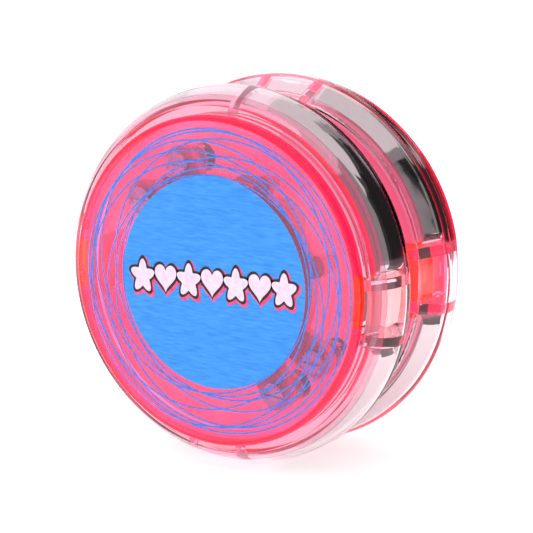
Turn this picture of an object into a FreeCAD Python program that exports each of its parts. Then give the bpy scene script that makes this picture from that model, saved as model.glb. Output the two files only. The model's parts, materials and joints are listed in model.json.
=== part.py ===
import FreeCAD, Part
import os
from math import atan, cos, degrees, radians, sin, sqrt, tan

# Yo-yo with a centrifugal clutch: two clear halves on one axle, chrome weights in the rims.
#
# Frame: the origin is the middle of the axle and of the string gap. +Y runs along the axle
# to the rear half, +X to the right of the front cap, +Z up.
#
# Each half is drawn in its own half frame: the axle is Z, and Z is called the depth. Depth 0
# is the plane where the cap meets the shoulder, and depth grows towards the string gap.

# ---------------------------------------------------------------- driving dimensions, mm
hairline = 0.04            # gap between pieces that rest on each other
overlap = 0.2              # how far a fused solid runs into its neighbour
over = 1.0                 # how far a cutting solid runs past what it cuts
rim_radius = 28.5
cap_radius = 24.7
cap_plane_span = 25.8      # between the two planes of depth 0
string_gap = 3.2
cap_rise = 1.5             # the cap's face stands this far in front of depth 0
front_turn = 4.5           # degrees that the front half is turned against the rear one

# rim outline
shoulder_radius = 25.95
crest_depth = 6.2          # depth of the largest radius
blend_radius = 2.4         # between the crest and the bevel
bevel = 30.7               # degrees, slope of the rim towards the string gap
gap_edge_round = 0.4
gap_edge_run = 0.48
gap_edge_bulge = 0.12      # how far the round stands out from its chord
flank_depth = (cap_plane_span - string_gap) / 2

# clear shell
wall = 1.0
web = 1.0
web_depth = flank_depth - web
rib = 1.6
rib_foot_inner = 23.1      # a window's ribs reach in to this radius behind the flank
window_angles = (0, 180)
window_half_angle = 9.3    # degrees from a window's middle to the middle of its rib
groove_middle = 87.8       # degrees, middle of the two grooves at the top
groove_angles = (groove_middle - window_half_angle, groove_middle + window_half_angle, 270)

# shoulder ring, which closes the rim
flange_top = 1.3
flange_bottom = 1.9
flange_inner = 22.6
cap_fit = 0.05             # between the ring and the cap

# fluorescent tray
tray_floor_top = 9.2
tray_wall_inner = 22.6
tray_wall_outer = 23.9
tray_radius = 24.9
tray_fit = 0.1             # between the wall or a slot and what stands in it
lug_half_angle = 6.9
lug_top = 6.4
lug_radius = 25.2
tray_hub_hole = 6.8

# chrome rim weights
weight_top = 2.0
weight_bottom = 9.1
weight_inner = 24.0
weight_clearance = 0.1     # to the shell's wall and ribs
weight_end_round = 1.6
groove_floor = 24.9        # radius of the bottom of a groove that clears a rib
groove_edge_round = 0.4
edge_match = 0.001         # how closely an edge has to lie in a plane to be rounded

# cap
cap_thickness = 1.4
cap_edge_run = 0.8         # the rounded edge, measured along the radius
cap_edge_bulge = 0.23
cap_skirt = 1.1
print_radius = 15.9
print_thickness = 0.1      # the printed layer fills a recess of this depth
key_width = 2.2
key_reach = 0.9

# axle, an M4 hexagon bolt with a nut
axle_radius = 2.0
running = 0.05             # radial clearance of what turns on the axle
hex_flats = 7.0
head_height = 2.8
head_sunk = 0.2            # below the boss's face
nut_height = 3.2
shank_short = 0.1          # the shank ends this far inside the nut's face

# spindle, which carries the string and the clutch drum
spindle_radius = 3.6
spindle_waist = 3.3
waist_half_width = 1.2
waist_bevel = 0.2
spindle_clearance = 0.3
end_play = 0.1
drum_radius = 5.0
drum_top = 5.4
drum_bottom = 8.1
washer_thickness = 0.5
washer_radius = 3.5

# hubs of the two shells
hub_radius = 6.5
front_hub_top = 8.6
nut_top = 3.8
rear_recess_top = 9.3
post_radius = 2.2
post_fit = 0.2             # round a post in the tray
post_circle = 18.5
post_angles = (30.5, 58.5, 210.5, 238.5)
post_top = 4.8

# clutch
plate_top = 3.2
plate_bottom = 4.8
plate_radius = 14.5
boss_radius = 5.6
boss_top = 0.7
ear_start = 10.0           # radius where the ears towards the posts begin
ear_margin = 0.4           # an ear or foot is this much wider than what it carries
stop_radius = 1.2
stop_bottom = 7.8
spring_lug_radius = 0.9
spring_lug_bottom = 6.6
spring_lug_offset = (-4.9, 2.4)    # from the pivot
pivot_circle = 12.5
pin_radius = 1.0
pin_fit = 0.1              # round a pin in the tray
pin_bottom = 10.8
arm_top = 5.1
arm_bottom = 8.1
band_inner = 6.2
band_outer = 9.2
band_from, band_to = -55, 70
arm_weight_circle = 10.5
arm_weight_radius = 2.6
arm_eye_radius = 2.6
arm_link_half_width = 1.9
arm_seat_wall = 1.2
arm_open_angle = 12.0
arm_stop_gap = 0.1         # left between an open arm and its stop
pad_inner = 5.1
pad_margin = 0.3           # the pad is this much thinner than its arm on each side
pad_half_angle = 25
spring_wire = 0.2
spring_radius = 1.35
spring_turns = 3
spring_top = 5.15
spring_pitch = 0.38        # a little under the wire's thickness
spring_room_radius = 3.8   # cut out of an arm's upper side for its spring
spring_room_bottom = 6.7
arm_leg_end = (6.6, -4.6)  # where a spring's legs end, from the pivot
plate_leg_end = (-4.1, 1.6)

# small screws
screw_shank = 0.85
screw_head = 1.8
screw_head_height = 1.2
screw_head_round = 0.5
screw_length = 5.0
screw_hole_spare = 0.2     # the hole is this much deeper than the screw
screw_slot = 0.5
screw_slot_depth = 0.4

# ---------------------------------------------------------------- values that follow
shoulder_drop = rim_radius - shoulder_radius
front_arc_radius = (shoulder_drop ** 2 + crest_depth ** 2) / (2 * shoulder_drop)
half_span = cap_plane_span / 2

origin = FreeCAD.Vector(0, 0, 0)
x_axis = FreeCAD.Vector(1, 0, 0)
z_axis = FreeCAD.Vector(0, 0, 1)


# ---------------------------------------------------------------- small helpers
def at(radius, depth):
    """A point of an outline: radius along X, depth along Z."""
    return FreeCAD.Vector(radius, 0, depth)


def polar(radius, angle, depth=0.0):
    """A point at an angle in degrees round the axle."""
    return FreeCAD.Vector(radius * cos(radians(angle)), radius * sin(radians(angle)), depth)


def line(a, b):
    return Part.LineSegment(a, b).toShape()


def arc(a, middle, b):
    return Part.Arc(a, middle, b).toShape()


def bulged(a, b, height):
    """An arc from a to b that stands out to the left of its chord by a height."""
    run = b - a
    out = FreeCAD.Vector(-run.z, 0, run.x).normalize()
    return arc(a, (a + b) / 2 + out * height, b)


def lines(points):
    """Straight edges through a list of points."""
    return [line(a, b) for a, b in zip(points, points[1:])]


def revolve(edges, start=0.0, sweep=360.0):
    """A closed outline turned round the axle."""
    solid = Part.Face(Part.Wire(edges)).revolve(origin, z_axis, sweep)
    if start:
        solid.rotate(origin, z_axis, start)
    return solid


def cylinder(radius, top, bottom, centre=origin):
    """A cylinder between two depths; centre gives its X and Y."""
    return Part.makeCylinder(radius, bottom - top, FreeCAD.Vector(centre.x, centre.y, top))


def tube(inner, outer, top, bottom):
    return cylinder(outer, top, bottom).cut(cylinder(inner, top - over, bottom + over))


def hexagon(flats, top, bottom):
    corner = flats / sqrt(3)
    points = [polar(corner, 60 * i, top) for i in range(7)]
    return Part.Face(Part.makePolygon(points)).extrude(FreeCAD.Vector(0, 0, bottom - top))


def capsule(a, b, half_width, top, bottom):
    """A flat bar with round ends from a to b."""
    run = b - a
    side = FreeCAD.Vector(-run.y, run.x, 0).normalize() * half_width
    corners = [a + side, b + side, b - side, a - side, a + side]
    corners = [FreeCAD.Vector(p.x, p.y, top) for p in corners]
    bar = Part.Face(Part.makePolygon(corners)).extrude(FreeCAD.Vector(0, 0, bottom - top))
    ends = [cylinder(half_width, top, bottom, a), cylinder(half_width, top, bottom, b)]
    return bar.multiFuse(ends).removeSplitter()


def sector(inner, outer, top, bottom, start, end):
    """A stretch of a flat ring between two angles."""
    corners = [at(inner, top), at(outer, top), at(outer, bottom), at(inner, bottom), at(inner, top)]
    return revolve(lines(corners), start, end - start)


def turned(shape, angle):
    """A copy turned round the axle."""
    copy = shape.copy()
    copy.rotate(origin, z_axis, angle)
    return copy


def fused(shapes):
    return shapes[0].multiFuse(shapes[1:]).removeSplitter()


# ---------------------------------------------------------------- the rim's outline
def rim_arc_point(radius, inset, angle):
    """A point on the front arc or the blend arc, both centred level with the crest."""
    reach = radius - inset
    return at(rim_radius - radius + reach * cos(angle), crest_depth + reach * sin(angle))


def rim_radius_at(depth, inset=0.0):
    """Radius of the rim at a depth, moved inwards by inset."""
    if depth <= crest_depth:
        reach = front_arc_radius - inset
        return rim_radius - front_arc_radius + sqrt(reach ** 2 - (crest_depth - depth) ** 2)
    corner = rim_arc_point(blend_radius, inset, radians(bevel))
    return corner.x - (depth - corner.z) * tan(radians(bevel))


def rim_curve(top, bottom, inset=0.0):
    """Edges of the rim from one depth, above the crest, to another on the bevel."""
    start = at(rim_radius_at(top, inset), top)
    start_angle = -atan((crest_depth - top) / (start.x - rim_radius + front_arc_radius))
    middle = rim_arc_point(front_arc_radius, inset, start_angle / 2)
    crest = at(rim_radius - inset, crest_depth)
    blend_middle = rim_arc_point(blend_radius, inset, radians(bevel) / 2)
    blend_end = rim_arc_point(blend_radius, inset, radians(bevel))
    end = at(rim_radius_at(bottom, inset), bottom)
    return [arc(start, middle, crest), arc(crest, blend_middle, blend_end), line(blend_end, end)]


def rim_solid(top, bottom, inset, inner):
    """The space under the rim's curve, down to an inner radius."""
    curve = rim_curve(top, bottom, inset)
    start = at(rim_radius_at(top, inset), top)
    end = at(rim_radius_at(bottom, inset), bottom)
    return revolve(curve + lines([end, at(inner, bottom), at(inner, top), start]))


# ---------------------------------------------------------------- pieces both halves share
def shell_blank():
    """The clear cup: rim wall and flat flank towards the string gap."""
    edge_depth = flank_depth - gap_edge_round
    edge = at(rim_radius_at(edge_depth), edge_depth)
    flank = at(edge.x - gap_edge_run, flank_depth)
    top = flange_bottom + hairline
    start = at(rim_radius_at(top), top)
    outline = rim_curve(top, edge_depth) + [bulged(flank, edge, gap_edge_bulge)]
    outline += lines([flank, at(0, flank_depth), at(0, top), start])
    hollow = rim_solid(flange_bottom, web_depth, wall, 0)
    return revolve(outline).cut(hollow)


def radial_bar(angle, width):
    """A bar from the axle to the rim, as deep as the half."""
    bar = Part.makeBox(rim_radius, width, flank_depth, FreeCAD.Vector(0, -width / 2, 0))
    return turned(bar, angle)


def window_rib_angles():
    return [middle + side * window_half_angle for middle in window_angles for side in (-1, 1)]


def ribs():
    """Radial ribs under the rim's wall: two beside each window, and one in each groove.

    A window's ribs stand outside the tray's wall, and their feet reach in through its floor.
    """
    top = flange_bottom + hairline
    tray_side = cylinder(tray_wall_outer + tray_fit, 0, tray_floor_top + hairline)
    beside_window = rim_solid(top, web_depth, wall / 2, rib_foot_inner).cut(tray_side)
    in_groove = rim_solid(top, web_depth, wall / 2, groove_floor + weight_clearance)
    found = [radial_bar(angle, rib).common(beside_window) for angle in window_rib_angles()]
    return found + [radial_bar(angle, rib).common(in_groove) for angle in groove_angles]


def shoulder_ring():
    """The clear ring round the cap; its flange closes the rim over the weights."""
    start = at(shoulder_radius, 0)
    middle_depth = flange_bottom / 2
    middle = at(rim_radius_at(middle_depth), middle_depth)
    end = at(rim_radius_at(flange_bottom), flange_bottom)
    inner = [
        end,
        at(flange_inner, flange_bottom),
        at(flange_inner, flange_top),
        at(cap_radius + cap_fit, flange_top),
        at(cap_radius + cap_fit, 0),
        start,
    ]
    return revolve([arc(start, middle, end)] + lines(inner))


def tray(holes):
    """The fluorescent tray: floor behind the flank, round wall, and a lug in each window."""
    floor_bottom = web_depth - hairline
    floor = tube(tray_hub_hole, tray_radius, tray_floor_top, floor_bottom)
    side = tube(tray_wall_inner, tray_wall_outer, flange_bottom + hairline, tray_floor_top)
    lugs = []
    for angle in window_angles:
        first, last = angle - lug_half_angle, angle + lug_half_angle
        lugs.append(sector(tray_wall_inner, lug_radius, lug_top, floor_bottom, first, last))
    body = fused([floor, side] + lugs)
    slot_space = tube(rib_foot_inner - tray_fit, rim_radius, tray_floor_top, flank_depth)
    for angle in window_rib_angles():
        body = body.cut(radial_bar(angle, rib + 2 * tray_fit).common(slot_space))
    for centre, radius in holes:
        body = body.cut(cylinder(radius, 0, flank_depth, centre))
    return body


def clutch_tray_holes():
    """Where the posts and the pivot pins pass through the front tray."""
    holes = [(polar(post_circle, angle), post_radius + post_fit) for angle in post_angles]
    return holes + [(polar(pivot_circle, angle), pin_radius + pin_fit) for angle in (90, 270)]


def weight(angle):
    """One chrome weight: the rim from the window at an angle to the next one, grooved for ribs."""
    inset = wall + weight_clearance
    curve = rim_curve(weight_top, weight_bottom, inset)
    start = at(rim_radius_at(weight_top, inset), weight_top)
    end = at(rim_radius_at(weight_bottom, inset), weight_bottom)
    back = lines([end, at(weight_inner, weight_bottom), at(weight_inner, weight_top), start])
    end_gap = degrees((rib / 2 + weight_clearance) / weight_inner)
    first = angle + window_half_angle + end_gap
    last = angle + 180 - window_half_angle - end_gap
    solid = revolve(curve + back, first, last - first)
    solid = rounded(solid, [(first, 0), (last, 0)], weight_end_round)
    half_groove = rib / 2 + weight_clearance
    for groove in groove_angles:
        if first < groove < last:
            cutter = radial_bar(groove, 2 * half_groove).cut(cylinder(groove_floor, 0, flank_depth))
            solid = solid.cut(cutter)
            sides = [(groove, half_groove), (groove, -half_groove)]
            solid = rounded(solid, sides, groove_edge_round)
    return solid


def rounded(solid, planes, radius):
    """Rounds a weight's outer edges in planes, each given by its angle and its distance aside."""
    edges = [e for e in solid.Edges if any(is_outer_edge(e, *plane) for plane in planes)]
    return solid.makeFillet(radius, edges)


def is_outer_edge(edge, angle, aside):
    """True for an edge on the rim's side of a weight that lies in a plane along the axle."""
    normal = polar(1, angle + 90)
    away = max(abs(v.Point.dot(normal) - aside) for v in edge.Vertexes)
    nearest = min(sqrt(v.Point.x ** 2 + v.Point.y ** 2) for v in edge.Vertexes)
    forward = edge.Vertexes[0].Point.dot(polar(1, angle)) > 0
    return away < edge_match and forward and nearest > groove_floor + weight_clearance


def cap(recess):
    """The fluorescent side cap: flat face, rounded edge, short skirt and a locating key.

    The recess is the depth cut into the face for a printed layer.
    """
    face = -cap_rise
    skirt_end = flange_top - hairline
    back = face + cap_thickness
    edge = at(cap_radius, face + cap_rise / 2)
    face_edge = at(cap_radius - cap_edge_run, face)
    skirt_inner = cap_radius - cap_skirt
    points = [
        edge,
        at(cap_radius, skirt_end),
        at(skirt_inner, skirt_end),
        at(skirt_inner, back),
        at(0, back),
        at(0, face),
        face_edge,
    ]
    disc = revolve(lines(points) + [bulged(edge, face_edge, cap_edge_bulge)])
    corner = FreeCAD.Vector(skirt_inner - key_reach, -key_width / 2, back - overlap)
    key = Part.makeBox(key_reach + overlap, key_width, skirt_end - back + overlap, corner)
    body = fused([disc, key])
    if recess:
        body = body.cut(cylinder(print_radius, face, face + recess))
    return body


def print_layer():
    """The round printed layer, flush with the front cap's face."""
    return cylinder(print_radius, -cap_rise, -cap_rise + print_thickness)


# ---------------------------------------------------------------- shells with their hubs
def front_shell():
    """Clear shell with the spindle's hole, four posts and two blind holes for the pivot pins."""
    solids = [shell_blank(), cylinder(hub_radius, front_hub_top, web_depth)]
    solids += [cylinder(post_radius, post_top, web_depth, polar(post_circle, a)) for a in post_angles]
    body = fused(solids + ribs())
    body = body.cut(cylinder(spindle_radius + spindle_clearance, 0, flank_depth + over))
    for angle in post_angles:
        hole = cylinder(screw_shank, post_top - over, plate_top + screw_length, polar(post_circle, angle))
        body = body.cut(hole)
    for angle in (90, 270):
        body = body.cut(cylinder(pin_radius, post_top, pin_bottom, polar(pivot_circle, angle)))
    return body


def rear_shell():
    """Clear shell whose hub holds the nut, with a recess for the spindle's end."""
    body = fused([shell_blank(), cylinder(hub_radius, nut_top, web_depth)] + ribs())
    body = body.cut(hexagon(hex_flats, nut_top - over, nut_top + nut_height))
    body = body.cut(cylinder(axle_radius + 2 * running, 0, flank_depth + over))
    return body.cut(cylinder(spindle_radius + spindle_clearance, rear_recess_top, flank_depth + over))


# ---------------------------------------------------------------- axle, nut and spindle
def axle():
    """The bolt: its head sits in the clutch plate, and its shank ends level with the nut."""
    head_top = boss_top + head_sunk
    shank_end = cap_plane_span - nut_top - shank_short
    head = hexagon(hex_flats, head_top, head_top + head_height)
    return fused([head, cylinder(axle_radius, head_top + head_height, shank_end)])


def nut():
    body = hexagon(hex_flats - 2 * hairline, nut_top, nut_top + nut_height)
    return body.cut(cylinder(axle_radius + running, 0, flank_depth))


def washer(top):
    return tube(axle_radius + running, washer_radius, top, top + washer_thickness)


def spindle():
    """Clutch drum, neck, and the waist that the string loops round, on one bore."""
    gap_middle = half_span
    end = cap_plane_span - rear_recess_top - washer_thickness - end_play
    outline = [
        at(axle_radius + running, drum_top),
        at(drum_radius, drum_top),
        at(drum_radius, drum_bottom),
        at(spindle_radius, drum_bottom),
        at(spindle_radius, gap_middle - waist_half_width - waist_bevel),
        at(spindle_waist, gap_middle - waist_half_width),
        at(spindle_waist, gap_middle + waist_half_width),
        at(spindle_radius, gap_middle + waist_half_width + waist_bevel),
        at(spindle_radius, end),
        at(axle_radius + running, end),
        at(axle_radius + running, drum_top),
    ]
    return revolve(lines(outline))


# ---------------------------------------------------------------- clutch
def arm_weight_centre():
    return polar(arm_weight_circle, band_from)


def pivot():
    return polar(pivot_circle, 90)


def stop_centre():
    """Where an arm's weight comes to rest when the arm is fully open."""
    out = arm_weight_centre() - pivot()
    out = FreeCAD.Rotation(z_axis, arm_open_angle).multVec(out)
    along = FreeCAD.Vector(-out.y, out.x, 0).normalize()
    return pivot() + out + along * (arm_weight_radius + arm_seat_wall + stop_radius + arm_stop_gap)


def clutch_plate():
    """Carries the bolt's head, the pins and the arms' stops, and is screwed to the posts."""
    spring_lug = pivot() + FreeCAD.Vector(*spring_lug_offset, 0)
    lugs = ((stop_centre(), stop_radius, stop_bottom), (spring_lug, spring_lug_radius, spring_lug_bottom))
    solids = [cylinder(plate_radius, plate_top, plate_bottom), cylinder(boss_radius, boss_top, plate_top)]
    for angle in post_angles:
        inner, outer = polar(ear_start, angle), polar(post_circle, angle)
        solids.append(capsule(inner, outer, post_radius + ear_margin, plate_top, plate_bottom))
    for angle in (0, 180):
        for centre, radius, end in lugs:
            foot = capsule(centre / 2, centre, radius + ear_margin, plate_top, plate_bottom)
            lug = cylinder(radius, plate_bottom - overlap, end, centre)
            solids += [turned(foot, angle), turned(lug, angle)]
    body = fused(solids)
    body = body.cut(hexagon(hex_flats, 0, boss_top + head_sunk + head_height))
    body = body.cut(cylinder(axle_radius, 0, plate_bottom + over))
    for angle in post_angles:
        body = body.cut(cylinder(screw_shank, 0, plate_bottom + over, polar(post_circle, angle)))
    for angle in (90, 270):
        body = body.cut(cylinder(pin_radius, 0, plate_bottom + over, polar(pivot_circle, angle)))
    return body


def clutch_arm(angle):
    """A curved arm beside the drum: an eye on its pin, and a seat for its weight at the end."""
    seat = arm_weight_centre()
    knee = polar((band_inner + band_outer) / 2, band_to)
    solids = [
        sector(band_inner, band_outer, arm_top, arm_bottom, band_from, band_to),
        capsule(pivot(), knee, arm_link_half_width, arm_top, arm_bottom),
        cylinder(arm_eye_radius, arm_top, arm_bottom, pivot()),
        cylinder(arm_weight_radius + arm_seat_wall, arm_top, arm_bottom, seat),
    ]
    body = fused(solids)
    body = body.cut(cylinder(pin_radius + running, 0, flank_depth, pivot()))
    body = body.cut(cylinder(arm_weight_radius, 0, flank_depth, seat))
    body = body.cut(cylinder(spring_room_radius, 0, spring_room_bottom, pivot()))
    return turned(body, angle)


def arm_weight(angle):
    return turned(cylinder(arm_weight_radius, arm_top, arm_bottom, arm_weight_centre()), angle)


def arm_pad(angle):
    """The brake pad that grips the drum."""
    top, bottom = arm_top + pad_margin, arm_bottom - pad_margin
    return turned(sector(pad_inner, band_inner, top, bottom, -pad_half_angle, pad_half_angle), angle)


def pivot_pin(angle):
    return cylinder(pin_radius, plate_top, pin_bottom, polar(pivot_circle, angle + 90))


def clutch_spring(angle):
    """Torsion spring on a pivot pin; one leg holds the arm in, the other leans on the plate.

    Its turns are closed rings that touch, which packs to a cleaner mesh than a helix.
    """
    last = (spring_turns - 1) * spring_pitch
    turns = []
    for index in range(spring_turns):
        centre = FreeCAD.Vector(0, 0, index * spring_pitch)
        turns.append(Part.makeTorus(spring_radius, spring_wire, centre, z_axis))
    low = leg(FreeCAD.Vector(spring_radius, 0, 0), FreeCAD.Vector(*arm_leg_end, 0))
    high = leg(FreeCAD.Vector(-spring_radius, 0, last), FreeCAD.Vector(*plate_leg_end, last))
    body = fused(turns + [low, high])
    body.translate(pivot() + FreeCAD.Vector(0, 0, spring_top + spring_wire))
    return turned(body, angle)


def leg(a, b):
    """A straight wire with round ends."""
    run = b - a
    wire = Part.makeCylinder(spring_wire, run.Length, a, run)
    return fused([wire, Part.makeSphere(spring_wire, a), Part.makeSphere(spring_wire, b)])


def clutch_screws():
    """The four pan-head screws that hold the clutch plate, as one group of separate solids."""
    screws = []
    head_top = plate_top - screw_head_height
    shank_end = plate_top + screw_length - screw_hole_spare
    for angle in post_angles:
        centre = polar(post_circle, angle)
        head = cylinder(screw_head, head_top, plate_top, centre)
        head = head.makeFillet(screw_head_round, [head.Edges[0]])
        shank = cylinder(screw_shank, plate_top, shank_end, centre)
        corner = FreeCAD.Vector(centre.x - screw_head, centre.y - screw_slot / 2, head_top - over)
        slot = Part.makeBox(2 * screw_head, screw_slot, over + screw_slot_depth, corner)
        screws.append(fused([head, shank]).cut(slot))
    return Part.makeCompound(screws)


# ---------------------------------------------------------------- placing and writing
def place_front(shape):
    """Front half: depth runs towards +Y."""
    copy = turned(shape, front_turn)
    copy.rotate(origin, x_axis, -90)
    copy.translate(FreeCAD.Vector(0, -half_span, 0))
    return copy


def place_rear(shape):
    """Rear half: depth runs towards -Y."""
    copy = shape.copy()
    copy.rotate(origin, x_axis, 90)
    copy.translate(FreeCAD.Vector(0, half_span, 0))
    return copy


def half_pieces(name, place, shell, tray_holes, cap_recess):
    """The pieces that both halves have."""
    pieces = {
        name + "_shell": place(shell),
        name + "_shoulder_ring": place(shoulder_ring()),
        name + "_tray": place(tray(tray_holes)),
        name + "_cap": place(cap(cap_recess)),
    }
    for number, angle in enumerate(window_angles, 1):
        pieces[f"{name}_rim_weight_{number}"] = place(weight(angle))
    return pieces


def clutch_pieces():
    pieces = {"clutch_plate": clutch_plate(), "clutch_screws": clutch_screws()}
    for number, angle in ((1, 0), (2, 180)):
        pieces[f"clutch_arm_{number}"] = clutch_arm(angle)
        pieces[f"arm_weight_{number}"] = arm_weight(angle)
        pieces[f"arm_pad_{number}"] = arm_pad(angle)
        pieces[f"pivot_pin_{number}"] = pivot_pin(angle)
        pieces[f"clutch_spring_{number}"] = clutch_spring(angle)
    return {name: place_front(shape) for name, shape in pieces.items()}


def yoyo():
    pieces = half_pieces("front", place_front, front_shell(), clutch_tray_holes(), print_thickness)
    pieces.update(half_pieces("rear", place_rear, rear_shell(), (), 0))
    pieces.update(clutch_pieces())
    pieces["front_print"] = place_front(print_layer())
    pieces["axle_bolt"] = place_front(axle())
    pieces["spindle"] = place_front(spindle())
    pieces["front_washer"] = place_front(washer(plate_bottom))
    pieces["rear_washer"] = place_rear(washer(rear_recess_top))
    pieces["axle_nut"] = place_rear(nut())
    return pieces


os.makedirs("parts", exist_ok=True)
for node, shape in yoyo().items():
    assert shape.isValid(), node
    shape.exportStep(f"parts/{node}.step")
    box = shape.BoundBox
    print(f"{node:24s} solids {len(shape.Solids)} volume {shape.Volume:9.1f} mm3",
          f"y {box.YMin:7.2f} to {box.YMax:7.2f}")
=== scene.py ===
"""Looks for the clutch yo-yo: materials, print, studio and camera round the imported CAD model."""
import json
import math

import bpy
from mathutils import Matrix, Vector


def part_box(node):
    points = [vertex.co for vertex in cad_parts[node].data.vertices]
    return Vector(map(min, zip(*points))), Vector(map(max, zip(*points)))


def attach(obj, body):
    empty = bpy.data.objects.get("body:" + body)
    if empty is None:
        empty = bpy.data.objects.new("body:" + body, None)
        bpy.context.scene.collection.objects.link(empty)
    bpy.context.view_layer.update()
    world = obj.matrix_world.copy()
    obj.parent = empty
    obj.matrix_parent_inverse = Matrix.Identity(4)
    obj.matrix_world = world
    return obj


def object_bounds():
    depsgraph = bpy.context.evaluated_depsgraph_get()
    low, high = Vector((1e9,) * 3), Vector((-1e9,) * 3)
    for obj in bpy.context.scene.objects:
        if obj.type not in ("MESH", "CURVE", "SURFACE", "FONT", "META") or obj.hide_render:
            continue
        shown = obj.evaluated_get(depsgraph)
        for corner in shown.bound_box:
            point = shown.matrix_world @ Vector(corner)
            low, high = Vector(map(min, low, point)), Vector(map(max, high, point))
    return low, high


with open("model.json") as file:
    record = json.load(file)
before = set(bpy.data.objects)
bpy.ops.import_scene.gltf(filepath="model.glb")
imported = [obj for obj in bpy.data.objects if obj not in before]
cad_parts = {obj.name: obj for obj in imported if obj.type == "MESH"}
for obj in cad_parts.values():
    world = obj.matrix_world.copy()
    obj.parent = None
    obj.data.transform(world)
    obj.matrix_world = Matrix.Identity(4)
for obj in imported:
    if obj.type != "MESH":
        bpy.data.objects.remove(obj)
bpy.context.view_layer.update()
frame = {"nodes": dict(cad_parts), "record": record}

MM = 0.001

# The front cap and the outer plane of its shoulder, read from the frame
CAP_LOW, CAP_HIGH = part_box("front_cap")
CAP_RADIUS = CAP_HIGH.x
CAP_FACE = CAP_LOW.y
CAP_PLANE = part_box("front_shoulder_ring")[0].y

# Colors and values that several materials share. A noise texture lies mostly between NOISE_LOW
# and NOISE_HIGH.
BLACK = (0.0, 0.0, 0.0)
WHITE = (1.0, 1.0, 1.0)
CLEAR = (1.0, 0.98, 0.99)
DYE = (1.0, 0.2, 0.42)
PLASTIC_IOR = 1.49
NOISE_LOW = 0.3
NOISE_HIGH = 0.7
NOISE_DETAIL = 4.0

# Stretch of a texture along X, Y and Z: none, drawn along the axle, and drawn level
EVEN = (1.0, 1.0, 1.0)
ALONG_AXLE = (1.0, 0.15, 1.0)
FINE_ALONG_AXLE = (1.0, 0.1, 1.0)
LEVEL = (0.12, 1.0, 1.0)

# The zones of the materials below are boxes. Each has low and high distances along X, Y and Z from
# the centre, so it shows on both sides, in both halves, above and below. FAR is outside the yo-yo.
FAR = 1.0

# Trays beside the windows: from WALL_START to the side a red inner wall, then from LUG_START the
# lugs, which end at LUG_TOP along the axle, and a pale wall from there towards the cap
# The red inner wall and the lugs carry a painted glow; the pale wall is painted light in place of the
# bright background seen through the window.
WALL_START = 22.2 * MM
LUG_START = 22.75 * MM
LUG_TOP = 6.55 * MM
LUG_HALF_WIDTH = 5.6 * MM

# Painted red edge glow of the caps: its start, how soon it is full, and half the width of its stretches
# of painted orange light beside the windows
CAP_EDGE = 23.85 * MM
EDGE_FADE = 0.15 * MM
PAINTED_ORANGE_HALF_WIDTH = 3.7 * MM

# Painted glow of the shells. The rim starts where the chrome weights end. The other zones, the side
# windows and the ribs above and below, are rows of low distances, high distances and color.
RIM_START = -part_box("front_rim_weight_1")[0].y
ZONE_START = 22.0 * MM
RIBS_HALF_WIDTH = 7.0 * MM
PAINTED_GLOW_ZONES = (
    ((ZONE_START, 0.0, 0.0), (FAR, FAR, LUG_HALF_WIDTH), (0.05, 0.033, 0.038)),
    ((0.0, 0.0, ZONE_START), (RIBS_HALF_WIDTH, FAR, FAR), (0.2, 0.12, 0.15)),
)

# Looping lines on the cap: equal turns round the axle, in three sizes, and one wide loop outside them
LOOP_COUNT = 8
LOOP_SIZES = 3
LOOP_RADIUS = 19.4 * MM
LOOP_GROWTH = 0.5 * MM
LOOP_SHIFT = 2.9 * MM
OUTER_LOOP_RADIUS = 22.5 * MM
OUTER_LOOP_SHIFT = 0.9 * MM
LOOP_WIDTH = 0.24 * MM
LOOP_HEIGHT = 0.05 * MM
LOOP_SEGMENTS = 220
LOOP_SIDES = 8

# Row of rounded stars and hearts across the printed disc
ROW_COUNT = 7
ROW_PITCH = 4.12 * MM
ROW_RISE = math.radians(1.5)
SHAPE_SIZE = 1.85 * MM
SHAPE_STRETCH = 1.2
OUTLINE_GROWTH = 0.42 * MM
HALO_GROWTH = 0.6 * MM
HALO_SHIFT = (0.22 * MM, -0.26 * MM)
INK_LAYER = 0.03 * MM
SHAPE_SEGMENTS = 96

# Star: how many points, then its body, the wave of its points and their tips in parts of SHAPE_SIZE.
# Heart: how far its curve is lifted to its middle, and how many of the curve's units are SHAPE_SIZE.
STAR_POINTS = 5
STAR_BODY = 0.93
STAR_WAVE = 0.2
STAR_TIP = 0.05
HEART_LIFT = 2.0
HEART_UNITS = 15.5

# Studio: the grey of the world by height, from level to straight up, and the floor
SKY = ((0.0, 1.0), (0.1, 1.0), (0.45, 0.8), (1.0, 0.85))
FLOOR_SIZE = 8.0
FLOOR_PAINT = (0.96, 0.96, 0.96)
FLOOR_GLOW = 0.55

# Cards are (name, start azimuth, end azimuth, foot, top at start, top at end, distance, grey level).
# Foot and tops are elevations. Angles are in degrees, as direction() takes them; distance is in metres.
CARDS = (
    ("CardLow", -24.0, 15.0, 0.0, 16.0, 40.0, 1.3, 0.02),
    ("CardBlack", 15.0, 70.0, 0.0, 52.0, 36.0, 1.3, 0.02),
    ("CardGrey", 70.0, 150.0, 0.0, 60.0, 45.0, 1.3, 0.32),
    ("CardHaze", 0.0, 15.0, 0.0, 50.0, 54.0, 1.35, 0.36),
    ("CardNear", -8.0, 85.4, -4.0, 10.0, 46.0, 0.063, 0.02),
    ("CardPane", 60.0, 87.5, -20.0, 4.0, 4.0, 0.063, 0.06),
)
CARD_STEPS = 24

# The one light: its place as for the cards, its size in metres and its power in watts
KEY_LIGHT = {"azimuth": 230.0, "elevation": 45.0, "distance": 1.5, "size": 1.8, "power": 5.0}

# Camera, looking past the middle of the cap's plane: angles in degrees, lens and sensor in mm
CAMERA_YAW = 31.99
CAMERA_PITCH = 12.32
CAMERA_DISTANCE = 14.0 * CAP_RADIUS
CAMERA_SIDE = 0.289 * CAP_RADIUS
CAMERA_LIFT = 0.088 * CAP_RADIUS
LENS = 158.9
SENSOR_WIDTH = 36.0
CLIP_START = 0.01
CLIP_END = 20.0


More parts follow.
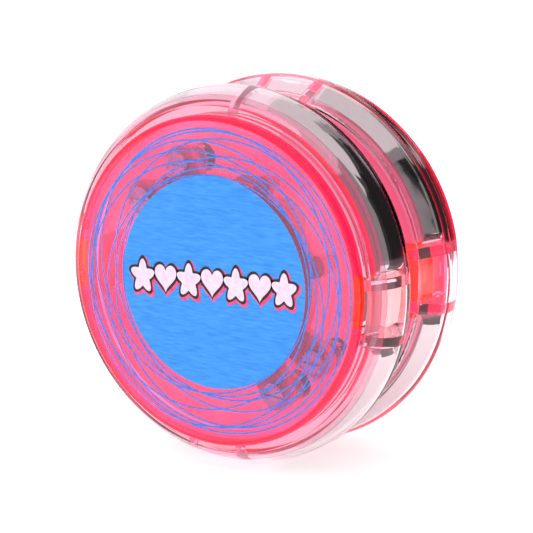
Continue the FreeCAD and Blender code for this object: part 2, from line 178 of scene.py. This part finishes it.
def new_material(name, color, rough, metal=0.0, transmission=0.0, ior=1.45):
    material = bpy.data.materials.new(name)
    material.use_nodes = True
    shader = material.node_tree.nodes["Principled BSDF"]
    shader.inputs["Base Color"].default_value = (*color, 1.0)
    shader.inputs["Roughness"].default_value = rough
    shader.inputs["Metallic"].default_value = metal
    shader.inputs["Transmission Weight"].default_value = transmission
    shader.inputs["IOR"].default_value = ior
    return material


def shader_of(material):
    return material.node_tree.nodes["Principled BSDF"]


def add_node(material, kind, **settings):
    node = material.node_tree.nodes.new(kind)
    for name, value in settings.items():
        setattr(node, name, value)
    return node


def link(material, output, socket):
    material.node_tree.links.new(output, socket)


def give_color(material, socket, color):
    """Puts a color, or an output that carries one, into a socket."""
    if isinstance(color, tuple):
        socket.default_value = (*color, 1.0)
    else:
        link(material, color, socket)


def set_glow(material, color, strength):
    shader = shader_of(material)
    give_color(material, shader.inputs["Emission Color"], color)
    shader.inputs["Emission Strength"].default_value = strength


def object_position(material, stretch=EVEN):
    place = add_node(material, "ShaderNodeTexCoord")
    mapping = add_node(material, "ShaderNodeMapping")
    mapping.inputs["Scale"].default_value = stretch
    link(material, place.outputs["Object"], mapping.inputs["Vector"])
    return mapping.outputs["Vector"]


def axle_distance(material):
    """Distance from the axle, in metres."""
    flat = object_position(material, (1.0, 0.0, 1.0))
    length = add_node(material, "ShaderNodeVectorMath", operation="LENGTH")
    link(material, flat, length.inputs[0])
    return length.outputs["Value"]


def noise(material, scale, detail, stretch=EVEN):
    node = add_node(material, "ShaderNodeTexNoise")
    node.inputs["Scale"].default_value = scale
    node.inputs["Detail"].default_value = detail
    link(material, object_position(material, stretch), node.inputs["Vector"])
    return node.outputs["Fac"]


def ramp(material, value, low, high, start, end):
    """Turns a value between low and high into one between start and end."""
    node = add_node(material, "ShaderNodeMapRange")
    node.inputs["From Min"].default_value = low
    node.inputs["From Max"].default_value = high
    node.inputs["To Min"].default_value = start
    node.inputs["To Max"].default_value = end
    link(material, value, node.inputs["Value"])
    return node.outputs["Result"]


def fill_ramp(node, stops):
    """Gives a color ramp its stops, each (place, color)."""
    elements = node.color_ramp.elements
    while len(elements) < len(stops):
        elements.new(0.5)
    for element, (place, color) in zip(elements, stops):
        element.position = place
        element.color = (*color, 1.0)


def noise_color(material, scale, low_color, high_color, detail=NOISE_DETAIL, stretch=EVEN):
    """Color that wanders between two colors."""
    node = add_node(material, "ShaderNodeValToRGB")
    fill_ramp(node, ((NOISE_LOW, low_color), (NOISE_HIGH, high_color)))
    link(material, noise(material, scale, detail, stretch), node.inputs["Fac"])
    return node.outputs["Color"]


def color_by_noise(material, scale, low_color, high_color, stretch=EVEN):
    color = noise_color(material, scale, low_color, high_color, stretch=stretch)
    link(material, color, shader_of(material).inputs["Base Color"])


def vary_roughness(material, scale, low, high, stretch=EVEN):
    value = noise(material, scale, NOISE_DETAIL, stretch)
    rough = ramp(material, value, NOISE_LOW, NOISE_HIGH, low, high)
    link(material, rough, shader_of(material).inputs["Roughness"])


def add_bump(material, scale, strength, depth, detail=3.0, stretch=EVEN):
    bump = add_node(material, "ShaderNodeBump")
    bump.inputs["Strength"].default_value = strength
    bump.inputs["Distance"].default_value = depth
    link(material, noise(material, scale, detail, stretch), bump.inputs["Height"])
    link(material, bump.outputs["Normal"], shader_of(material).inputs["Normal"])


def clear_plastic(name, tint, density, painted_glow, strength):
    """Polished polycarbonate with a breath of the dye: light that runs far inside turns pink. It also
    gets a painted glow of the given color and strength.
    """
    material = new_material(name, tint, rough=0.02, transmission=1.0, ior=PLASTIC_IOR)
    inside = add_node(material, "ShaderNodeVolumeAbsorption")
    inside.inputs["Color"].default_value = (*DYE, 1.0)
    inside.inputs["Density"].default_value = density
    output = material.node_tree.nodes["Material Output"]
    link(material, inside.outputs["Volume"], output.inputs["Volume"])
    # Painted glow: the plastic gives off light of this color though it is no lamp
    set_glow(material, painted_glow, strength)
    vary_roughness(material, scale=900.0, low=0.0, high=0.05)
    add_bump(material, scale=160.0, strength=0.05, depth=0.05 * MM, detail=1.0)
    return material


def box_mask(material, low, high):
    """1 where the distances along X, Y and Z from the centre all lie between low and high."""
    apart = add_node(material, "ShaderNodeVectorMath", operation="ABSOLUTE")
    link(material, object_position(material), apart.inputs[0])
    split = add_node(material, "ShaderNodeSeparateXYZ")
    link(material, apart.outputs["Vector"], split.inputs["Vector"])
    inside = None
    for axis, start, end in zip("XYZ", low, high):
        for operation, limit in (("GREATER_THAN", start), ("LESS_THAN", end)):
            test = add_node(material, "ShaderNodeMath", operation=operation)
            link(material, split.outputs[axis], test.inputs[0])
            test.inputs[1].default_value = limit
            if inside is None:
                inside = test.outputs[0]
                continue
            both = add_node(material, "ShaderNodeMath", operation="MULTIPLY")
            link(material, inside, both.inputs[0])
            link(material, test.outputs[0], both.inputs[1])
            inside = both.outputs[0]
    return inside


def mix_color(material, mask, below, above):
    """below where the mask is 0, above where it is 1; each is a color or an output. A Mix node's
    color inputs are numbers 6 and 7, and its color output is number 2."""
    mix = add_node(material, "ShaderNodeMix", data_type="RGBA")
    link(material, mask, mix.inputs["Factor"])
    give_color(material, mix.inputs[6], below)
    give_color(material, mix.inputs[7], above)
    return mix.outputs[2]


def cap_plastic():
    """See-through fluorescent pink with a faint painted pink glow; its edge carries a painted red glow,
    and beside the windows painted orange-red light.
    """
    material = new_material("CapPink", (1.0, 0.2, 0.45), rough=0.06, transmission=0.95, ior=PLASTIC_IOR)
    pink = noise_color(material, 90.0, (1.0, 0.29, 0.63), (1.0, 0.56, 0.86), detail=3.0)
    # Painted light: a red edge glow from CAP_EDGE outwards, orange-red light beside the windows, a
    # faint pink glow elsewhere
    outside = ramp(material, axle_distance(material), CAP_EDGE, CAP_EDGE + EDGE_FADE, 0.0, 1.0)
    window_light_zone = box_mask(material, (CAP_EDGE, 0.0, 0.0), (FAR, FAR, PAINTED_ORANGE_HALF_WIDTH))
    edge = mix_color(material, window_light_zone, (1.0, 0.006, 0.065), (1.0, 0.02, 0.0))
    shader = shader_of(material)
    give_color(material, shader.inputs["Base Color"], mix_color(material, outside, pink, edge))
    shader.inputs["Specular IOR Level"].default_value = 0.12
    set_glow(material, mix_color(material, outside, (0.05, 0.018, 0.03), edge), strength=0.4)
    vary_roughness(material, scale=500.0, low=0.03, high=0.1)
    add_bump(material, scale=120.0, strength=0.05, depth=0.1 * MM, detail=1.0)
    return material


def shell_plastic(name, rim_painted_tint, rim_painted_glow):
    """Clear plastic with a painted tint and a painted glow at its rim, and a painted glow at its side
    windows and its ribs.
    """
    material = clear_plastic(name, CLEAR, density=80.0, painted_glow=BLACK, strength=0.5)
    # The rim's tint and glow and the glows of the zones are painted light
    rim = box_mask(material, (0.0, RIM_START, 0.0), (FAR, FAR, FAR))
    tint = mix_color(material, rim, CLEAR, rim_painted_tint)
    painted_glow = BLACK
    for low, high, zone_painted_glow in PAINTED_GLOW_ZONES:
        painted_glow = mix_color(material, box_mask(material, low, high), painted_glow, zone_painted_glow)
    painted_glow = mix_color(material, rim, painted_glow, rim_painted_glow)
    shader = shader_of(material)
    give_color(material, shader.inputs["Base Color"], tint)
    give_color(material, shader.inputs["Emission Color"], painted_glow)
    return material


def tray_plastic(name, painted_lug_glow):
    """Fluorescent pink with a painted glow; beside the windows it has a red inner wall and lugs that
    carry a painted glow, and a pale wall of painted light.
    """
    material = new_material(name, (1.0, 0.2, 0.45), rough=0.15, transmission=0.35, ior=PLASTIC_IOR)
    lug = box_mask(material, (LUG_START, 0.0, 0.0), (FAR, LUG_TOP, LUG_HALF_WIDTH))
    wall = box_mask(material, (LUG_START, LUG_TOP, 0.0), (FAR, FAR, LUG_HALF_WIDTH))
    inner = box_mask(material, (WALL_START, 0.0, 0.0), (LUG_START, FAR, LUG_HALF_WIDTH))
    pink = noise_color(material, 500.0, (1.0, 0.28, 0.46), (1.0, 0.38, 0.56), detail=3.0)
    base = mix_color(material, wall, pink, (0.78, 0.66, 0.7))
    base = mix_color(material, inner, base, (1.0, 0.02, 0.1))
    base = mix_color(material, lug, base, painted_lug_glow)
    # Painted glow: pink over the body, red on the inner wall, the lug's color on the lugs, none on the
    # pale wall
    painted_glow = mix_color(material, wall, (0.4, 0.11, 0.19), BLACK)
    painted_glow = mix_color(material, inner, painted_glow, (1.0, 0.01, 0.06))
    painted_glow = mix_color(material, lug, painted_glow, painted_lug_glow)
    give_color(material, shader_of(material).inputs["Base Color"], base)
    set_glow(material, painted_glow, strength=0.6)
    add_bump(material, scale=300.0, strength=0.1, depth=0.1 * MM)
    return material


def chrome():
    """Plated zinc: mirror with the slow waviness of a polished casting."""
    material = new_material("Chrome", (0.7, 0.69, 0.69), rough=0.05, metal=1.0)
    vary_roughness(material, scale=700.0, low=0.02, high=0.08)
    add_bump(material, scale=110.0, strength=0.5, depth=0.35 * MM, detail=2.0)
    return material


def steel():
    """Zinc-plated steel with fine drawn lines along the axle."""
    material = new_material("Steel", (0.5, 0.5, 0.52), rough=0.3, metal=1.0)
    color_by_noise(material, 600.0, (0.42, 0.42, 0.44), (0.6, 0.6, 0.62), ALONG_AXLE)
    vary_roughness(material, scale=1500.0, low=0.22, high=0.4, stretch=FINE_ALONG_AXLE)
    return material


def frame_plastic():
    """Moulded pink plastic of the clutch plate, finely textured."""
    material = new_material("ClutchPlatePink", (1.0, 0.2, 0.4), rough=0.4)
    color_by_noise(material, 400.0, (0.9, 0.16, 0.34), (1.0, 0.24, 0.46))
    add_bump(material, scale=2500.0, strength=0.15, depth=0.05 * MM)
    return material


def white_plastic():
    """Moulded acetal, slightly waxy and mottled."""
    material = new_material("Acetal", (0.82, 0.81, 0.78), rough=0.45)
    color_by_noise(material, 350.0, (0.76, 0.75, 0.72), (0.86, 0.85, 0.82))
    shader_of(material).inputs["Subsurface Weight"].default_value = 0.15
    shader_of(material).inputs["Subsurface Scale"].default_value = 1.0 * MM
    add_bump(material, scale=1800.0, strength=0.15, depth=0.05 * MM)
    return material


def rubber():
    """Grained pad rubber."""
    material = new_material("PadRubber", (0.04, 0.04, 0.04), rough=0.75)
    color_by_noise(material, 2500.0, (0.025, 0.025, 0.025), (0.06, 0.06, 0.06))
    add_bump(material, scale=3000.0, strength=0.4, depth=0.1 * MM)
    return material


def disc_ink():
    """Azure print with fine level streaks."""
    material = new_material("DiscInk", (0.07, 0.35, 0.95), rough=0.3)
    color_by_noise(material, 4200.0, (0.03, 0.235, 0.76), (0.058, 0.345, 0.94), LEVEL)
    vary_roughness(material, scale=1200.0, low=0.22, high=0.4, stretch=LEVEL)
    shader_of(material).inputs["Specular IOR Level"].default_value = 0.3
    add_bump(material, scale=1200.0, strength=0.2, depth=0.03 * MM, stretch=LEVEL)
    return material


def ink(name, dark, light):
    """Raised print ink, uneven by a shade."""
    material = new_material(name, light, rough=0.35)
    color_by_noise(material, 1500.0, dark, light)
    return material


# Materials of the slots, then of the pieces that have their own; the rear half's are redder by painted
# light, with redder tints and a stronger painted red glow
MATERIALS = {
    "clear_plastic": shell_plastic(
        "FrontShell", rim_painted_tint=(1.0, 0.85, 0.92), rim_painted_glow=(0.1, 0.035, 0.06)),
    "fluorescent_plastic": cap_plastic(),
    "chrome": chrome(),
    "steel": steel(),
    "frame_plastic": frame_plastic(),
    "white_plastic": white_plastic(),
    "print_ink": disc_ink(),
    "pad_rubber": rubber(),
}
OWN_MATERIALS = {
    "rear_shell": shell_plastic(
        "RearShell", rim_painted_tint=(1.0, 0.35, 0.5), rim_painted_glow=(0.9, 0.03, 0.1)),
    # Both shoulder rings carry a painted pink glow; the rear one also has a painted red tint and a much
    # stronger painted red glow.
    "front_shoulder_ring": clear_plastic(
        "FrontShoulder", (1.0, 0.9, 0.95), density=200.0, painted_glow=(1.0, 0.3, 0.5), strength=0.03),
    "rear_shoulder_ring": clear_plastic(
        "RearShoulder", (1.0, 0.28, 0.42), density=200.0, painted_glow=(1.0, 0.03, 0.1), strength=0.9),
    # The lug colors are painted glow: pale in front, saturated red behind.
    "front_tray": tray_plastic("FrontTrayPink", painted_lug_glow=(1.0, 0.6, 0.58)),
    "rear_tray": tray_plastic("RearTrayPink", painted_lug_glow=(1.0, 0.027, 0.003)),
}


def paint_nodes():
    """Gives each CAD piece its own material, or else the one of its slot."""
    slots = {part["node"]: part["material_slot"] for part in frame["record"]["subparts"]}
    for name, obj in frame["nodes"].items():
        material = OWN_MATERIALS.get(name, MATERIALS[slots[name]])
        obj.data.materials.clear()
        obj.data.materials.append(material)
        for polygon in obj.data.polygons:
            polygon.material_index = 0


def add_mesh(name, points, faces, material):
    mesh = bpy.data.meshes.new(name)
    mesh.from_pydata(points, [], faces)
    mesh.validate()
    mesh.materials.append(material)
    piece = bpy.data.objects.new(name, mesh)
    bpy.context.scene.collection.objects.link(piece)
    return piece


def add_print(name, points, faces, material):
    """A printed piece on the front cap. Its faces with four corners are smooth."""
    piece = add_mesh(name, points, faces, material)
    for polygon in piece.data.polygons:
        polygon.use_smooth = len(polygon.vertices) == 4
    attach(piece, "front_half")


def loop_line(index, radius, shift, turn, material):
    """One raised ink line: a ring of oval section, its centre shifted from the axle."""
    right, up = shift * math.cos(turn), shift * math.sin(turn)
    points, faces = [], []
    for i in range(LOOP_SEGMENTS):
        angle = math.tau * i / LOOP_SEGMENTS
        for j in range(LOOP_SIDES):
            lean = math.tau * j / LOOP_SIDES
            reach = radius + 0.5 * LOOP_WIDTH * math.cos(lean)
            height = CAP_FACE - LOOP_HEIGHT * math.sin(lean)
            points.append((right + reach * math.cos(angle), height, up + reach * math.sin(angle)))
            here = i * LOOP_SIDES
            after = (i + 1) % LOOP_SEGMENTS * LOOP_SIDES
            across = (j + 1) % LOOP_SIDES
            faces.append((here + j, here + across, after + across, after + j))
    add_print(f"loop_line_{index}", points, faces, material)


def star_reach(angle, growth):
    """Rounded star, one point up."""
    wave = math.cos(STAR_POINTS * (angle - math.pi / 2))
    return SHAPE_SIZE * (STAR_BODY + STAR_WAVE * wave + STAR_TIP * wave * abs(wave)) + growth


def star_outline(growth):
    outline = []
    for i in range(SHAPE_SEGMENTS):
        angle = math.tau * i / SHAPE_SEGMENTS
        reach = star_reach(angle, growth)
        outline.append(Vector((reach * math.cos(angle), SHAPE_STRETCH * reach * math.sin(angle))))
    return outline


def heart_outline(growth):
    """Rounded heart, the usual sine and cosine curve, grown by moving each point outwards."""
    outline = []
    for i in range(SHAPE_SEGMENTS):
        t = math.tau * i / SHAPE_SEGMENTS
        x = 16.0 * math.sin(t) ** 3
        z = 13.0 * math.cos(t) - 5.0 * math.cos(2 * t) - 2.0 * math.cos(3 * t) - math.cos(4 * t)
        point = Vector((x, SHAPE_STRETCH * (z + HEART_LIFT))) * (SHAPE_SIZE / HEART_UNITS)
        outline.append(point + point.normalized() * growth)
    return outline


def flat_print(name, outline, thickness, place, material):
    """An inked shape with straight sides on the cap's face."""
    count = len(outline)
    points = []
    for height in (0.0, thickness):
        for corner in outline:
            points.append((place.x + corner.x, CAP_FACE - height, place.y + corner.y))
    faces = [tuple(range(count)), tuple(reversed(range(count, 2 * count)))]
    for i in range(count):
        j = (i + 1) % count
        faces.append((i, i + count, j + count, j))
    add_print(name, points, faces, material)


def print_row():
    """Stars and hearts in turn, each of three layers; every layer stands on the face."""
    halo = ink("HaloInk", (0.75, 0.02, 0.12), (1.0, 0.12, 0.3))
    edge = ink("OutlineInk", (0.002, 0.001, 0.002), (0.012, 0.004, 0.008))
    fill = ink("FillInk", (0.8, 0.56, 0.72), (0.95, 0.74, 0.88))
    layers = (
        ("halo", HALO_GROWTH, HALO_SHIFT, halo),
        ("outline", OUTLINE_GROWTH, (0.0, 0.0), edge),
        ("fill", 0.0, (0.0, 0.0), fill),
    )
    for i in range(ROW_COUNT):
        along = (i - (ROW_COUNT - 1) / 2) * ROW_PITCH
        place = Vector((along, math.tan(ROW_RISE) * along))
        make_outline = heart_outline if i % 2 else star_outline
        for level, (label, growth, shift, material) in enumerate(layers, 1):
            name = f"row_{label}_{i + 1}"
            flat_print(name, make_outline(growth), level * INK_LAYER, place + Vector(shift), material)


def print_loops():
    """Loops at equal turns round the axle, in three sizes by turns, and the wide loop."""
    material = ink("LoopInk", (0.035, 0.16, 0.7), (0.06, 0.26, 0.85))
    for i in range(LOOP_COUNT):
        radius = LOOP_RADIUS + (i % LOOP_SIZES - 1) * LOOP_GROWTH
        loop_line(i + 1, radius, LOOP_SHIFT, math.tau * i / LOOP_COUNT, material)
    loop_line(LOOP_COUNT + 1, OUTER_LOOP_RADIUS, OUTER_LOOP_SHIFT, 0.0, material)


def camera_axes():
    """Right, up and back of the camera; back points from the yo-yo to the camera."""
    yaw, pitch = math.radians(CAMERA_YAW), math.radians(CAMERA_PITCH)
    back = Vector((math.sin(yaw) * math.cos(pitch), -math.cos(yaw) * math.cos(pitch), math.sin(pitch)))
    right = Vector((math.cos(yaw), math.sin(yaw), 0.0))
    return right, back.cross(right), back


def place_camera():
    right, up, back = camera_axes()
    data = bpy.data.cameras.new("Camera")
    data.lens = LENS
    data.sensor_width = SENSOR_WIDTH
    data.clip_start = CLIP_START
    data.clip_end = CLIP_END
    camera = bpy.data.objects.new("Camera", data)
    bpy.context.scene.collection.objects.link(camera)
    turn = Matrix((right, up, back)).transposed().to_4x4()
    place = Vector((0.0, CAP_PLANE, 0.0)) + back * CAMERA_DISTANCE
    place += right * CAMERA_SIDE + up * CAMERA_LIFT
    camera.matrix_world = Matrix.Translation(place) @ turn
    bpy.context.scene.camera = camera


def make_world():
    """White near the ground and greyer above."""
    world = bpy.data.worlds.new("Studio")
    world.use_nodes = True
    nodes, links = world.node_tree.nodes, world.node_tree.links
    place = nodes.new("ShaderNodeTexCoord")
    split = nodes.new("ShaderNodeSeparateXYZ")
    sky = nodes.new("ShaderNodeValToRGB")
    fill_ramp(sky, [(height, (grey, grey, grey)) for height, grey in SKY])
    links.new(place.outputs["Generated"], split.inputs["Vector"])
    links.new(split.outputs["Z"], sky.inputs["Fac"])
    links.new(sky.outputs["Color"], nodes["Background"].inputs["Color"])
    bpy.context.scene.world = world
    bpy.context.scene.view_settings.view_transform = "Standard"


def make_floor():
    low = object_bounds()[0]
    bpy.ops.mesh.primitive_plane_add(size=FLOOR_SIZE, location=(0, 0, low.z))
    floor = bpy.context.object
    floor.name = "Floor"
    paint = new_material("FloorPaint", FLOOR_PAINT, rough=0.9)
    set_glow(paint, WHITE, FLOOR_GLOW)
    floor.data.materials.append(paint)


def direction(azimuth, elevation):
    """Unit vector. Azimuth 0 is behind the yo-yo, 90 to its right and 180 in front."""
    a, e = math.radians(azimuth), math.radians(elevation)
    return Vector((math.sin(a) * math.cos(e), math.cos(a) * math.cos(e), math.sin(e)))


def add_card(name, points, faces, grey):
    """A card that only mirrors and glass see."""
    paint = new_material(name + "Paint", BLACK, rough=1.0)
    shader_of(paint).inputs["Specular IOR Level"].default_value = 0.0
    set_glow(paint, WHITE, grey)
    card = add_mesh(name, points, faces, paint)
    card.visible_camera = False
    card.visible_diffuse = False
    card.visible_shadow = False


def band(inner, outer):
    """Points and faces of a strip between two rows of points."""
    points, faces = [], []
    for i, pair in enumerate(zip(inner, outer)):
        points += pair
        if i:
            faces.append((2 * i - 2, 2 * i, 2 * i + 1, 2 * i - 1))
    return points, faces


def spread(start, end):
    return [start + (end - start) * i / CARD_STEPS for i in range(CARD_STEPS + 1)]


def make_card(name, start, end, low, top_start, top_end, distance, grey):
    """A standing curved card."""
    azimuths, tops = spread(start, end), spread(top_start, top_end)
    foot = [direction(azimuth, low) * distance for azimuth in azimuths]
    head = [direction(azimuth, top) * distance for azimuth, top in zip(azimuths, tops)]
    add_card(name, *band(foot, head), grey)


def make_light(name, azimuth, elevation, distance, size, power):
    """A soft square light turned to the object, which mirrors don't see."""
    toward = direction(azimuth, elevation)
    data = bpy.data.lights.new(name, "AREA")
    data.shape = "SQUARE"
    data.size = size
    data.energy = power
    light = bpy.data.objects.new(name, data)
    light.location = toward * distance
    light.rotation_euler = toward.to_track_quat("Z", "Y").to_euler()
    bpy.context.scene.collection.objects.link(light)
    light.visible_glossy = False


paint_nodes()
print_loops()
print_row()
place_camera()
make_world()
make_floor()
for card_values in CARDS:
    make_card(*card_values)
make_light("KeyLight", **KEY_LIGHT)
